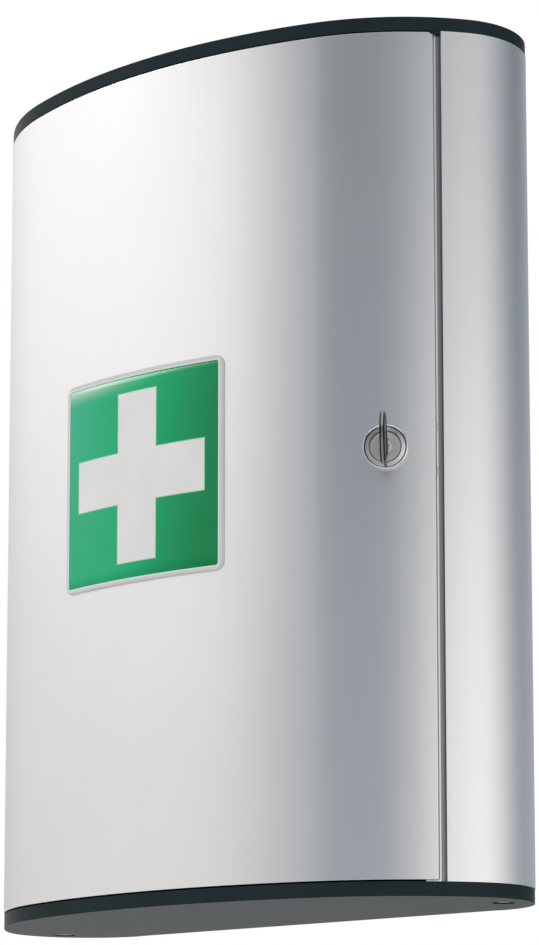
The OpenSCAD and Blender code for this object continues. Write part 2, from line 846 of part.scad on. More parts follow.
module lock_plug() {
  face = flange_h - 0.45;
  dome = 2.9;
  dome_h = 0.7;
  color("#b9bcbb") at_lock() difference() {
    union() {
      rod(plug_r, cam_out, 1);
      rod(plug_face_r, 0.45, face);
      translate([0, 0, face - 0.01]) cylinder(r1 = dome, r2 = dome - 0.9, h = dome_h);
      translate([-tang_w / 2, -tang_w / 2, cam_out - cam_t - 0.1]) cube([tang_w, tang_w, cam_t + 2]);
    }
    translate([-key_t / 2 - blade_gap, -blade_h / 2 - blade_gap, -blade_len - 0.6])
      cube([key_t + 2 * blade_gap, blade_h + 2 * blade_gap, blade_len + 10]);
    rod(1.9, cam_out - cam_t - past, cam_out + 3.2);
  }
}

// The cam hangs down while the lock is open, and swings to the right behind the keeper
module lock_cam() {
  hub_r = 7.6;
  back = cam_out - cam_t;
  color("#a9aeb1") at_lock() rotate([0, 0, 180]) difference() {
    intersection() {
      rotate([90, 0, 90]) translate([0, 0, -hub_r]) linear_extrude(2 * hub_r)
        polygon([
          [-hub_r, back], [11, back], [15.5, back + cam_crank], [cam_len, back + cam_crank],
          [cam_len, cam_out + cam_crank], [14.5, cam_out + cam_crank], [10, cam_out], [-hub_r, cam_out]
        ]);
      prism(cam_out - 10, 0) {
        circle(hub_r);
        translate([-cam_w / 2, 0]) square([cam_w, cam_len - 2]);
        translate([-cam_w / 2 + 2, 0]) square([cam_w - 4, cam_len]);
        for (side = [-1, 1]) translate([side * (cam_w / 2 - 2), cam_len - 2]) circle(2);
      }
    }
    translate([-tang_w / 2 - 0.08, -tang_w / 2 - 0.08, back - past])
      cube([tang_w + 0.16, tang_w + 0.16, cam_t + 2 * past]);
  }
}

module cam_screw() {
  seat_z = cam_out - cam_t - 0.12;
  color("#8d9296") at_lock() difference() {
    union() {
      rod(5.2, seat_z - 2, seat_z);
      rod(1.85, seat_z - 0.1, cam_out + 3);
    }
    for (a = [0, 90]) rotate(a) translate([-2.4, -0.5, seat_z - 3]) cube([4.8, 1, 2]);
  }
}

// Key
module key_side() {
  neck = flange_h + 0.7;
  bow_r = bow_d / 2;
  difference() {
    union() {
      translate([bow_reach, 0]) circle(bow_r);
      translate([neck, -blade_h / 2 - 0.8]) square([bow_reach - neck, blade_h + 1.6]);
      translate([-blade_len, -blade_h / 2]) square([blade_len + bow_reach, blade_h]);
    }
    translate([bow_reach + bow_r - 5.4, 0]) circle(2.6);
    translate([-blade_len, blade_h / 2]) rotate(45) square(2.4, center = true);
    translate([-blade_len, -blade_h / 2]) rotate(45) square(2.4, center = true);
    for (cut = [0:2]) translate([-blade_len + 2.6 + cut * 2.8, (cut % 2 == 0 ? 1 : -1) * blade_h / 2])
      rotate(45) square(1.2 + 0.3 * cut, center = true);
  }
}

module key() {
  rim = 1.5;
  bow_r = bow_d / 2;
  color("#7d8285") at_lock() rotate([0, -90, 0]) {
    translate([0, 0, -key_t / 2]) linear_extrude(key_t) key_side();
    for (side = [0, 1]) mirror([0, 0, side])
      prism(key_t / 2 - 0.01, key_t / 2 + 0.25) translate([bow_reach, 0]) difference() {
        circle(bow_r - 0.2);
        circle(bow_r - rim);
      }
  }
}

// Sign
module rounded_square(w, r) {
  half = w / 2;
  in = half - r;
  polygon([
    [-in, -half], [in, -half], [in, -in], [half, -in], [half, in], [in, in],
    [in, half], [-in, half], [-in, in], [-half, in], [-half, -in], [-in, -in]
  ]);
  for (a = [0:90:270]) rotate(a) translate([in, in])
    intersection() {
      circle(r);
      square(r);
    }
}

module cross() {
  square([cross_w, bar_w], center = true);
  square([bar_w, cross_w], center = true);
}

// Cuts a flat outline through a curved layer of the face, between two heights above it
module on_face(low, high) {
  intersection() {
    translate([front_c.x, front_c.y, -cab_h / 2]) difference() {
      cylinder(r = front_r + high, h = cab_h);
      translate([0, 0, -past]) cylinder(r = front_r + low, h = cab_h + 2 * past);
    }
    translate([front_c.x, front_c.y, 0]) rotate([90, 0, sign_mid + 90])
      translate([0, 0, front_r - 20]) linear_extrude(40) children();
  }
}

module sign_plate() {
  bevel = 0.5;
  color("#dfe3e4") difference() {
    union() {
      on_face(0.02, sign_t - bevel) rounded_square(sign_w, sign_corner_r);
      on_face(sign_t - bevel, sign_t) rounded_square(sign_w - 2 * bevel, sign_corner_r - bevel);
    }
    on_face(field_in, sign_t + past) rounded_square(field_w + 0.1, 1.3);
  }
}

module sign_field() {
  color("#1fa46b") on_face(field_in + 0.02, field_in + field_t) difference() {
    rounded_square(field_w, 1.25);
    cross();
  }
}

module sign_cross() {
  color("#e8eae8") on_face(field_in + 0.02, field_in + field_t) cross();
}

top_cap();
bottom_cap();
back_panel();
side_profile();
panel_rivets();
lock_keeper();
keeper_rivets();
door_buffers();
upper_shelf();
lower_shelf();
shelf_rivets();
cap_screws_top();
cap_screws_bottom();
hinge_pin_top();
hinge_pin_bottom();
door_skin();
door_end_top();
door_end_bottom();
door_end_screws_top();
door_end_screws_bottom();
hinge_bush_top();
hinge_bush_bottom();
lock_housing();
lock_nut();
sign_plate();
sign_field();
sign_cross();
lock_plug();
lock_cam();
cam_screw();
key();
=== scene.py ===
"""Dresses the lockable medicine cabinet: aluminium door and side profile, moulded caps, cylinder lock with
its key, raised cross sign, hinges, shelves, and the studio that it is shown in."""

import json
import math

import bmesh
import bpy
from bpy.props import FloatProperty, FloatVectorProperty, PointerProperty
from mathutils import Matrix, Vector


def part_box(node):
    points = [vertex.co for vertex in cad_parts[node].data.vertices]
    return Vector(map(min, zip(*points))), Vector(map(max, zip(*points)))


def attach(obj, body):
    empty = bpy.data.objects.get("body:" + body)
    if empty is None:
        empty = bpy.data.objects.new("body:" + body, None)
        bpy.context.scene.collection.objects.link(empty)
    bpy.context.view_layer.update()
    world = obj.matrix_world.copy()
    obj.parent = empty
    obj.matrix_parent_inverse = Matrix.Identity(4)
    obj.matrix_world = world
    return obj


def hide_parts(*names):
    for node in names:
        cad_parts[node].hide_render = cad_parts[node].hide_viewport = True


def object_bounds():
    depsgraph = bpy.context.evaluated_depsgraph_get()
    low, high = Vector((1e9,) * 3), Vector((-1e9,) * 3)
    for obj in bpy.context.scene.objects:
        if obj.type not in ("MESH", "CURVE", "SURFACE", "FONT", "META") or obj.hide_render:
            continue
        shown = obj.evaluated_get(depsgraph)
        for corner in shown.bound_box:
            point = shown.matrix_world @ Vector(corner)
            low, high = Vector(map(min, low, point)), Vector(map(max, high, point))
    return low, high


bl_info = {
    "name": "Medicine cabinet",
    "version": (1, 0, 0),
    "blender": (4, 5, 0),
    "location": "View3D > Sidebar > Cabinet",
    "description": "Builds a wall cabinet with a curved aluminium door over its construction model",
    "category": "Object",
}

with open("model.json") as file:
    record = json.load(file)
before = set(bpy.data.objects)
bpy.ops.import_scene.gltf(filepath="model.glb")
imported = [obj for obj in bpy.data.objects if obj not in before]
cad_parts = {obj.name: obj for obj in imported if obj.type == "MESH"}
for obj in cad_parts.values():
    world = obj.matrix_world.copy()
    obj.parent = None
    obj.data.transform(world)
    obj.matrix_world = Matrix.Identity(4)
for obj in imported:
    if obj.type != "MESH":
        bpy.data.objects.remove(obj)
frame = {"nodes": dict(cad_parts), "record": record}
CAD_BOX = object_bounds()
WIDTH = CAD_BOX[1].x - CAD_BOX[0].x
DEPTH = -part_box("door_skin")[0].y
LOCK_TURN = next(j for j in frame["record"]["behaviour"]["joints"] if j["name"] == "lock_turn")
LOCK_AT = Vector(LOCK_TURN["pos_m"])
LOCK_OUT = Vector(LOCK_TURN["axis"])
LOCK_ACROSS = Vector((-LOCK_OUT.y, LOCK_OUT.x, 0.0))


def length(name, value, text):
    return FloatProperty(name=name, description=text, default=value, unit="LENGTH", precision=5)


def colour(name, value, text):
    return FloatVectorProperty(
        name=name, description=text, subtype="COLOR", size=3, min=0.0, max=1.0, default=value
    )


class CabinetSizes(bpy.types.PropertyGroup):
    shoulder_radius: length("Shoulder radius", 0.112, "Radius of the outline's two shoulders")
    end_radius: length("End radius", 0.039, "Radius of the outline's two ends")
    front_sweep: FloatProperty(
        name="Front sweep", description="Half angle of the front arc, in degrees", default=18.3
    )
    sign_shift: length("Sign shift", -0.006, "Centre of the sign along the face, to the right of the crown")
    sign_rise: length("Sign rise", 0.00105, "Height of the field over the door's face")
    field: length("Field", 0.095, "Side of the sign's green field")
    cross_bar: length("Cross bar", 0.024, "Width of the cross's bars")
    cross_span: length("Cross span", 0.080, "Span of the cross")


class CabinetFinishes(bpy.types.PropertyGroup):
    aluminium: colour("Aluminium", (0.905, 0.91, 0.915), "Satin anodised door and side profile")
    sheet: colour("Sheet", (0.70, 0.715, 0.73), "Back panel and shelves")
    cap: colour("Cap plastic", (0.021, 0.034, 0.038), "Charcoal moulded caps")
    inner_plastic: colour("Inner plastic", (0.012, 0.014, 0.016), "Dark mouldings in the door's ends")
    chrome: colour("Lock chrome", (0.84, 0.84, 0.83), "Lock cylinder")
    key: colour("Key nickel", (0.34, 0.34, 0.33), "Rim of the key")
    # Painted shade for the key's flat sides
    key_shaded_side: colour("Key sides", (0.018, 0.019, 0.021), "Blackened flat sides of the key")
    plug: colour("Plug nickel", (0.66, 0.65, 0.61), "Matt nickel of the turning plug")
    steel: colour("Zinc steel", (0.48, 0.49, 0.50), "Screws, pins, nut and cam")
    rubber: colour("Rubber", (0.028, 0.028, 0.03), "Buffers")
    nylon: colour("Nylon", (0.78, 0.76, 0.70), "Hinge bushes")
    sign_green: colour("Sign green", (0.002, 0.50, 0.19), "Field of the sign in its middle")
    sign_plate: colour("Sign plate", (0.74, 0.77, 0.775), "Raised border of the sign")
    # Painted light at the field's upper left and painted shade at its right
    sign_painted_light: colour("Sign pale green", (0.045, 0.55, 0.31), "Field of the sign at its upper left")
    sign_painted_shade: colour("Sign deep green", (0.002, 0.27, 0.085), "Field of the sign at its right")
    sign_white: colour("Sign white", (0.93, 0.93, 0.92), "Cross of the sign")


# Materials


class Value:
    """A shader socket, or a number, that can be added to and multiplied like a number."""

    def __init__(self, finish, socket):
        self.finish, self.socket = finish, socket

    def _math(self, operation, *inputs):
        raw = [i.socket if isinstance(i, Value) else i for i in inputs]
        return self.finish.node("ShaderNodeMath", {"operation": operation}, dict(enumerate(raw)))

    def __add__(self, other):
        return self._math("ADD", self, other)

    __radd__ = __add__

    def __sub__(self, other):
        return self._math("SUBTRACT", self, other)

    def __rsub__(self, other):
        return self._math("SUBTRACT", other, self)

    def __mul__(self, other):
        return self._math("MULTIPLY", self, other)

    __rmul__ = __mul__

    def __pow__(self, other):
        return self._math("POWER", self, other)

    def __lt__(self, other):
        return self._math("LESS_THAN", self, other)

    def most(self, other):
        return self._math("MAXIMUM", self, other)

    def least(self, other):
        return self._math("MINIMUM", self, other)

    def __abs__(self):
        return self._math("ABSOLUTE", self)


class Finish:
    """One material, with a Principled shader whose fixed numbers are set on its own sockets."""

    def __init__(self, name, **fixed):
        self.material = bpy.data.materials.new(name)
        self.material.use_nodes = True
        self.tree = self.material.node_tree
        self.shader = self.tree.nodes["Principled BSDF"]
        for socket, value in fixed.items():
            self.set(socket.replace("_", " ").title().replace("Ior", "IOR"), value)

    def set(self, socket, value):
        target = self.shader.inputs[socket]
        if isinstance(value, Value):
            self.tree.links.new(value.socket, target)
        elif target.type == "RGBA":
            target.default_value = (*value[:3], 1.0)
        else:
            target.default_value = value

    def node(self, kind, settings=None, inputs=None, output=0):
        made = self.tree.nodes.new(kind)
        for key, value in (settings or {}).items():
            setattr(made, key, value)
        for key, value in (inputs or {}).items():
            if isinstance(value, Value):
                value = value.socket
            if isinstance(value, bpy.types.NodeSocket):
                self.tree.links.new(value, made.inputs[key])
            else:
                made.inputs[key].default_value = value
        return Value(self, made.outputs[output])

    def place(self):
        """The point on the piece, in metres in the cabinet's frame."""
        return self.node("ShaderNodeTexCoord", output="Object")

    def axes(self, point):
        split = self.node("ShaderNodeSeparateXYZ", inputs={0: point}).socket.node
        return [Value(self, split.outputs[i]) for i in range(3)]

    def stretched(self, point, scale, turn=(0, 0, 0)):
        return self.node("ShaderNodeMapping", inputs={"Vector": point, "Scale": scale, "Rotation": turn})

    def noise(self, point, scale, detail=3.0, roughness=0.55):
        return self.node(
            "ShaderNodeTexNoise",
            inputs={"Vector": point, "Scale": scale, "Detail": detail, "Roughness": roughness},
            output="Fac",
        )

    def angle(self, first, second):
        """The angle whose tangent is first over second, in radians."""
        return self.node("ShaderNodeMath", {"operation": "ARCTAN2"}, {0: first, 1: second})

    def dot(self, first, second):
        return self.node(
            "ShaderNodeVectorMath", {"operation": "DOT_PRODUCT"}, {0: first, 1: second}, output="Value"
        )

    def eased(self, value, low, high, out_low=0.0, out_high=1.0):
        return self.node(
            "ShaderNodeMapRange",
            {"interpolation_type": "SMOOTHSTEP"},
            {"Value": value, "From Min": low, "From Max": high, "To Min": out_low, "To Max": out_high},
        )

    def blend(self, share, first, second):
        made = self.node("ShaderNodeMix", {"data_type": "RGBA"}, {0: share})
        mix = made.socket.node
        for socket, value in ((mix.inputs[6], first), (mix.inputs[7], second)):
            if isinstance(value, Value):
                self.tree.links.new(value.socket, socket)
            else:
                socket.default_value = (*value[:3], 1.0)
        return Value(self, mix.outputs[2])

    def bump(self, height, distance, strength=1.0, after=None):
        inputs = {"Height": height, "Distance": distance, "Strength": strength}
        if after:
            inputs["Normal"] = after
        return self.node("ShaderNodeBump", inputs=inputs)


def shade(tone, factor):
    return tuple(min(1.0, part * factor) for part in tone)


# The rebate lip lies this deep under the outline, in front of this y, and gets painted shade from this angle
# on
LIP_DEPTH = 0.0022
LIP_FRONT = -0.062
LIP_FROM = math.radians(-42.2)
LIP_EDGE = 0.0015
LIP_STEP = 0.0002
LIP_TONE = 0.3
LIP_SHADE = (0.0, 0.012, 0.02)


def painted_lip_shade(finish, point, tone):
    """Paints shade on what lies sunk in the open seam: the rebate lip next to the side profile."""
    outline = Outline(bpy.context.scene.cabinet_sizes)
    x, y, _ = finish.axes(point)
    leg_x, leg_y = x - outline.shoulder.x, y - outline.shoulder.y
    out = (leg_x ** 2.0 + leg_y ** 2.0) ** 0.5
    turn = finish.angle(leg_y, leg_x)
    floor = outline.shoulder_radius - LIP_DEPTH
    sunk = finish.eased(out, floor, floor + LIP_STEP, 1.0, 0.0)
    # Mask of the painted shade: sunk under the outline, in front, and past the angle
    lip = sunk * (y < LIP_FRONT) * finish.eased(turn, LIP_FROM - LIP_EDGE, LIP_FROM + LIP_EDGE)
    return finish.blend(lip * (1.0 - LIP_TONE), tone, LIP_SHADE)


def satin_aluminium(name, base, roughness, line_depth=1.5e-6):
    """Anodised extrusion: fine upright die lines, a soft cloudiness and tiny pits."""
    finish = Finish(name, metallic=1.0)
    point = finish.place()
    lines = finish.noise(finish.stretched(point, (1, 1, 0.004)), 2600, 4, 0.6)
    wide = finish.noise(finish.stretched(point, (1, 1, 0.02)), 160, 2)
    cloud = finish.noise(point, 18, 3)
    pits = finish.noise(point, 5200, 1)
    tone = finish.blend(finish.eased(cloud, 0.3, 0.7), shade(base, 0.985), base)
    tone = finish.blend(finish.eased(lines, 0.35, 0.75) * 0.25, tone, shade(base, 0.93))
    # Painted shade on the rebate lip sunk in the open seam
    finish.set("Base Color", painted_lip_shade(finish, point, tone))
    finish.set("Roughness", roughness + (cloud - 0.5) * 0.03 + (lines - 0.5) * 0.05)
    finish.set("Normal", finish.bump(lines + wide * 0.6 + pits * 0.3, line_depth))
    return finish.material


def moulded_plastic(name, base, roughness=0.42, grain=4200, depth=6e-6):
    """Spark-eroded moulding: fine even grain with a faint sheen difference."""
    finish = Finish(name, ior=1.48, specular_ior_level=0.035)
    point = finish.place()
    grains = finish.noise(point, grain, 2, 0.6)
    cloud = finish.noise(point, 40, 3)
    tone = finish.blend(finish.eased(cloud, 0.3, 0.7), shade(base, 0.9), shade(base, 1.08))
    finish.set("Base Color", finish.blend(finish.eased(grains, 0.55, 0.8) * 0.35, tone, shade(base, 1.5)))
    finish.set("Roughness", roughness + (grains - 0.5) * 0.12 + (cloud - 0.5) * 0.06)
    finish.set("Normal", finish.bump(grains, depth))
    return finish.material


def plated_metal(name, base, roughness, patch=0.06, grain=1400, metallic=1.0):
    """Plated or turned metal: smooth, with faint hazy patches and hairline scratches."""
    finish = Finish(name, metallic=metallic)
    point = finish.place()
    haze = finish.noise(point, 220, 4, 0.6)
    scratches = finish.noise(finish.stretched(point, (1, 0.06, 1), (0.4, 0.9, 0.2)), grain, 3)
    tone = finish.blend(finish.eased(haze, 0.35, 0.7) * 0.5, base, shade(base, 0.86))
    finish.set("Base Color", tone)
    finish.set("Roughness", roughness + (haze - 0.5) * patch + finish.eased(scratches, 0.62, 0.7) * 0.06)
    finish.set("Normal", finish.bump(scratches, 1.2e-6))
    return finish.material


def key_metal(name, rim, side):
    """Nickelled key: bright rim, flat sides darkened with painted shade, fine scratches and rubbed high
    spots.
    """
    finish = Finish(name, metallic=1.0)
    point = finish.place()
    from_lock = finish.node("ShaderNodeVectorMath", {"operation": "SUBTRACT"}, {0: point, 1: LOCK_AT})
    across = finish.dot(from_lock, LOCK_ACROSS)
    haze = finish.noise(point, 420, 4, 0.6)
    scratches = finish.noise(finish.stretched(point, (1, 1, 0.08), (0.5, 0.2, 0.3)), 2400, 3)
    edge = finish.eased(abs(across), 0.0003, 0.00055)
    # The flat sides carry painted shade, lighter at rubbed high spots; the rim between them keeps the nickel
    dark = finish.blend(finish.eased(haze, 0.35, 0.75) * 0.6, side, shade(side, 2.6))
    dark = finish.blend(finish.eased(scratches, 0.62, 0.74) * 0.3, dark, rim)
    finish.set("Base Color", finish.blend(edge, rim, dark))
    finish.set("Roughness", 0.26 + haze * 0.14)
    finish.set("Normal", finish.bump(scratches, 1.5e-6))
    return finish.material


def gloss_plastic(name, base, roughness=0.2):
    """Glossy sign film and moulding: slight orange peel under a hard surface."""
    finish = Finish(name, specular_ior_level=0.3)
    point = finish.place()
    peel = finish.noise(point, 520, 2)
    cloud = finish.noise(point, 30, 3)
    tone = finish.blend(finish.eased(cloud, 0.3, 0.7), shade(base, 0.96), shade(base, 1.03))
    finish.set("Base Color", tone)
    finish.set("Roughness", roughness + (cloud - 0.5) * 0.05)
    finish.set("Normal", finish.bump(peel, 4e-6))
    return finish.material


def sign_axes(finish, point):
    """Distances from the sign's middle, along the face and upwards."""
    sizes = bpy.context.scene.cabinet_sizes
    outline = Outline(sizes)
    turn = -math.pi / 2 + sizes.sign_shift / outline.front_radius
    along = (-math.sin(turn), math.cos(turn), 0.0)
    middle = (outline.front.x, outline.front.y, 0.0)
    leg = finish.node("ShaderNodeVectorMath", {"operation": "SUBTRACT"}, {0: point, 1: middle})
    return abs(finish.dot(leg, along)), abs(finish.axes(point)[2])


def sign_border(name, base, line):
    """Raised border of the sign, with a painted highlight as a bright line where the resin meets it."""
    finish = Finish(name, specular_ior_level=0.4)
    point = finish.place()
    across, up = sign_axes(finish, point)
    half = bpy.context.scene.cabinet_sizes.field / 2
    cloud = finish.noise(point, 30, 3)
    tone = finish.blend(finish.eased(cloud, 0.3, 0.7), shade(base, 0.96), shade(base, 1.03))
    # Painted highlight along the edge of the field
    edge = finish.eased(across.most(up), half + 0.0006, half + 0.0009, 1.0, 0.0)
    finish.set("Base Color", finish.blend(edge, tone, line))
    finish.set("Roughness", 0.24 + (cloud - 0.5) * 0.05)
    finish.set("Normal", finish.bump(finish.noise(point, 520, 2), 4e-6))
    return finish.material


# Painted light and shade on the sign's field, in metres along x: where the painted light turns to full green,
# and full green to painted shade, with their leans in z
PAINTED_LIGHT_FALL, PAINTED_LIGHT_LEAN = (-0.062, 0.004), 0.12
PAINTED_SHADE_RISE, PAINTED_SHADE_LEAN = (-0.012, 0.046), -0.16
PAINTED_LIGHT_DRIFT = 0.006
# Below the first height the painted light is mixed with full green, above the second it isn't
PAINTED_LIGHT_LOW = (-0.046, 0.03)
# Painted highlights where the resin would catch light: a pale line round the cross and a gleam along the
# upper border
CROSS_HIGHLIGHT, LINE_SPAN = (0.55, 0.85, 0.68), (0.0002, 0.0006)
RIM_HIGHLIGHT, RIM_FALL = (0.72, 0.92, 0.84), (-0.045, 0.022)
RIM_UNDER, RIM_OVER = 0.011, 0.002
RESIN_ROUND, RESIN_DEPTH = 0.005, 0.0011


def sign_film(name, pale, base, deep):
    """Printed field under poured resin, with painted light at its upper left, painted shade to the right and
    painted highlights at its edges; its borders round down.
    """
    sizes = bpy.context.scene.cabinet_sizes
    half = sizes.field / 2
    finish = Finish(name, specular_ior_level=0.22)
    point = finish.place()
    x, _, z = finish.axes(point)
    cloud = finish.noise(point, 26, 3)
    peel = finish.noise(point, 420, 2)
    # Painted light at the upper left and painted shade to the right, their borders wobbled by the cloud noise
    drift = (cloud - 0.5) * PAINTED_LIGHT_DRIFT
    across = finish.eased(x + z * PAINTED_LIGHT_LEAN + drift, *PAINTED_LIGHT_FALL)
    tone = finish.blend(across, pale, base)
    tone = finish.blend(finish.eased(x + z * PAINTED_SHADE_LEAN + drift, *PAINTED_SHADE_RISE), tone, deep)
    tone = finish.blend(finish.eased(z, *PAINTED_LIGHT_LOW, 0.6, 0.0) * (1.0 - across), tone, base)
    away, up = sign_axes(finish, point)
    bar, span = sizes.cross_bar / 2, sizes.cross_span / 2
    # Painted highlight as a pale line round the cross
    edge = (away - bar).most(up - span).least((up - bar).most(away - span))
    tone = finish.blend(finish.eased(edge, *LINE_SPAN, 0.75, 0.0), tone, CROSS_HIGHLIGHT)
    # Painted highlight along the upper border, fading to the right
    rim = finish.eased(z, half - RIM_UNDER, half + RIM_OVER) * finish.eased(x, *RIM_FALL, 0.8, 0.0)
    finish.set("Base Color", finish.blend(rim * rim * 1.5, tone, RIM_HIGHLIGHT))
    finish.set("Roughness", 0.22 + (cloud - 0.5) * 0.04)
    fall = finish.node(
        "ShaderNodeMapRange", inputs={"Value": abs(z), "From Min": half - RESIN_ROUND, "From Max": half}
    )
    finish.set("Normal", finish.bump(fall * fall * -1.0, RESIN_DEPTH, after=finish.bump(peel, 4e-6)))
    return finish.material


def dull(name, base, roughness, grain=2600, depth=1e-5):
    """Rubber and nylon: matt, with a fine grain and a little dust in its tone."""
    finish = Finish(name, ior=1.5)
    point = finish.place()
    grains = finish.noise(point, grain, 3)
    finish.set("Base Color", finish.blend(finish.eased(grains, 0.4, 0.75), base, shade(base, 1.25)))
    finish.set("Roughness", roughness + (grains - 0.5) * 0.1)
    finish.set("Normal", finish.bump(grains, depth))
    return finish.material


_made = {}


def finish_for(slot):
    """The material of one of the record's slots, made once."""
    looks = bpy.context.scene.cabinet_finishes
    recipes = {
        "cap_plastic": lambda: moulded_plastic("cap_plastic", looks.cap, 0.32),
        "frame_plastic": lambda: moulded_plastic("frame_plastic", looks.inner_plastic, 0.5),
        "door_aluminium": lambda: satin_aluminium("door_aluminium", looks.aluminium, 0.30),
        "sheet_aluminium": lambda: satin_aluminium("sheet_aluminium", looks.sheet, 0.42, 3e-6),
        "rivet_aluminium": lambda: plated_metal("rivet_aluminium", looks.sheet, 0.4),
        "zinc_steel": lambda: plated_metal("zinc_steel", looks.steel, 0.34),
        "lock_chrome": lambda: plated_metal("lock_chrome", looks.chrome, 0.2),
        "key_nickel": lambda: key_metal("key_nickel", looks.key, looks.key_shaded_side),
        "buffer_rubber": lambda: dull("buffer_rubber", looks.rubber, 0.7),
        "bush_nylon": lambda: dull("bush_nylon", looks.nylon, 0.45, depth=4e-6),
        "sign_white": lambda: gloss_plastic("sign_white", looks.sign_white),
        "sign_green": lambda: sign_film("sign_green", looks.sign_painted_light, looks.sign_green, looks.sign_painted_shade),
    }
    if slot not in _made:
        _made[slot] = recipes[slot]()
    return _made[slot]


# Outline

# Cosines: faces within 50 degrees share a normal, and a face this square to the outline's way runs along it
SMOOTH_LIMIT = math.cos(math.radians(50))
ALONG_LIMIT = 0.996
UPRIGHT_LIMIT = 0.02


class Outline:
    """The cabinet's plan outline: a front arc, two shoulders and two ends, each tangent to the next."""

    def __init__(self, sizes):
        sweep = math.radians(sizes.front_sweep)
        shoulder, end = sizes.shoulder_radius, sizes.end_radius
        end_x = WIDTH / 2 - end
        rise = DEPTH - shoulder - end
        sine, fall = math.sin(sweep), 1 - math.cos(sweep)
        a = sine * sine + fall * fall
        b = end_x * sine + rise * fall
        c = end_x * end_x + rise * rise - (shoulder - end) ** 2
        step = (b - math.sqrt(b * b - a * c)) / a
        front = shoulder + step
        self.front = Vector((0, front - DEPTH))
        self.shoulder = Vector((step * sine, self.front.y - step * math.cos(sweep)))
        self.end = Vector((end_x, -end))
        self.shoulder_radius = shoulder
        self.front_radius = front
        self.front_to = sweep - math.pi / 2
        leg = self.end - self.shoulder
        self.shoulder_to = math.atan2(leg.y, leg.x)

    def outward(self, point):
        """Unit vector square to the outline at a point on it, or at any depth under it."""
        at = Vector((abs(point.x), point.y))
        centre = self.end
        for candidate, limit in ((self.shoulder, self.shoulder_to), (self.front, self.front_to)):
            leg = at - candidate
            if math.atan2(leg.y, leg.x) < limit:
                centre = candidate
        way = (at - centre).normalized()
        return Vector((way.x if point.x > 0 else -way.x, way.y, 0.0))


def shade_walls(obj, outline=None):
    """Gives each corner the mean normal of the faces round it, weighted by area, so that flat faces stay flat
    beside their bevels. Walls along the outline get its true normals, so that gloss flows over the joins."""
    mesh = obj.data
    around = [[] for _ in mesh.vertices]
    for face in mesh.polygons:
        for index in face.vertices:
            around[index].append(face)
    normals = []
    for face in mesh.polygons:
        own = face.normal
        for corner in face.loop_indices:
            vertex = mesh.loops[corner].vertex_index
            mean = Vector()
            for other in around[vertex]:
                if own.dot(other.normal) > SMOOTH_LIMIT:
                    mean += other.normal * other.area
            mean = mean.normalized() if mean.length > 0 else own.copy()
            if outline and abs(own.z) < UPRIGHT_LIMIT:
                way = outline.outward(mesh.vertices[vertex].co)
                facing = way.dot(own)
                if abs(facing) > ALONG_LIMIT:
                    mean = way if facing > 0 else -way
            normals.append(mean)
    mesh.normals_split_custom_set(normals)


# Meshes

SLOT_OF = {s["node"]: s["material_slot"] for s in frame["record"]["subparts"]}
BODY_OF = {n: b for b, nodes in frame["record"]["behaviour"]["bodies"].items() for n in nodes}


# Edges sharper than this are broken by a bevel and shaded as edges
SHARP = math.radians(30.0)
WELD = 2e-6
FLAT = math.radians(0.3)


def mark_sharp(bm, limit):
    for edge in bm.edges:
        edge.smooth = len(edge.link_faces) == 2 and edge.calc_face_angle(0.0) < limit


def new_object(name, bm):
    """Makes an object of a finished bmesh and adds it to the scene."""
    mesh = bpy.data.meshes.new(name)
    bm.to_mesh(mesh)
    bm.free()
    obj = bpy.data.objects.new(name, mesh)
    bpy.context.scene.collection.objects.link(obj)
    return obj


def add_piece(bm, name, replaced):
    """Makes an object of a finished bmesh, smooth between sharp edges, and lets it ride for its nodes."""
    for face in bm.faces:
        face.smooth = True
    mark_sharp(bm, SHARP)
    obj = new_object(name, bm)
    slot = SLOT_OF[replaced[0]]
    obj.data.materials.append(finish_for(slot))
    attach(obj, BODY_OF[replaced[0]])
    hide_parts(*replaced)
    return obj


def softened_copy(node, width, segments):
    """A copy of a construction solid with its doubles merged and its sharp edges broken by a small bevel."""
    bm = bmesh.new()
    bm.from_mesh(frame["nodes"][node].data)
    bmesh.ops.remove_doubles(bm, verts=bm.verts, dist=WELD)
    bmesh.ops.dissolve_limit(bm, angle_limit=FLAT, verts=bm.verts, edges=bm.edges)
    if width:
        edges = [e for e in bm.edges if len(e.link_faces) == 2 and e.calc_face_angle(0.0) > SHARP]
        bmesh.ops.bevel(
            bm, geom=edges, offset=width, offset_type="OFFSET", segments=segments, profile=0.5,
            affect="EDGES", clamp_overlap=True, material=-1,
        )
    return add_piece(bm, node + "_dressed", [node])


# Finishes of the pieces that follow the outline
CURVED_SLOTS = (
    "cap_plastic", "frame_plastic", "door_aluminium", "sheet_aluminium", "sign_white", "sign_green",
)

# Node, width of its broken edges in metres, segments
CAP_EDGES = (("top_cap", 0.0003, 2), ("bottom_cap", 0.0003, 2))
SHELL_EDGES = (
    ("back_panel", 0.0002, 2), ("side_profile", 0.0002, 2), ("panel_rivets", 0.0002, 2),
    ("lock_keeper", 0.0004, 2), ("keeper_rivets", 0.0002, 2), ("door_buffers", 0.0004, 3),
    ("upper_shelf", 0.0002, 2), ("lower_shelf", 0.0002, 2), ("shelf_rivets", 0.0002, 2),
    ("cap_screws_top", 0.00015, 2), ("cap_screws_bottom", 0.00015, 2),
)
DOOR_EDGES = (
    ("door_skin", 0.0002, 2), ("door_end_top", 0.0003, 2), ("door_end_bottom", 0.0003, 2),
    ("door_end_screws_top", 0.00015, 2), ("door_end_screws_bottom", 0.00015, 2),
    ("hinge_bush_top", 0.0002, 2), ("hinge_bush_bottom", 0.0002, 2),
    ("hinge_pin_top", 0.0003, 2), ("hinge_pin_bottom", 0.0003, 2),
)
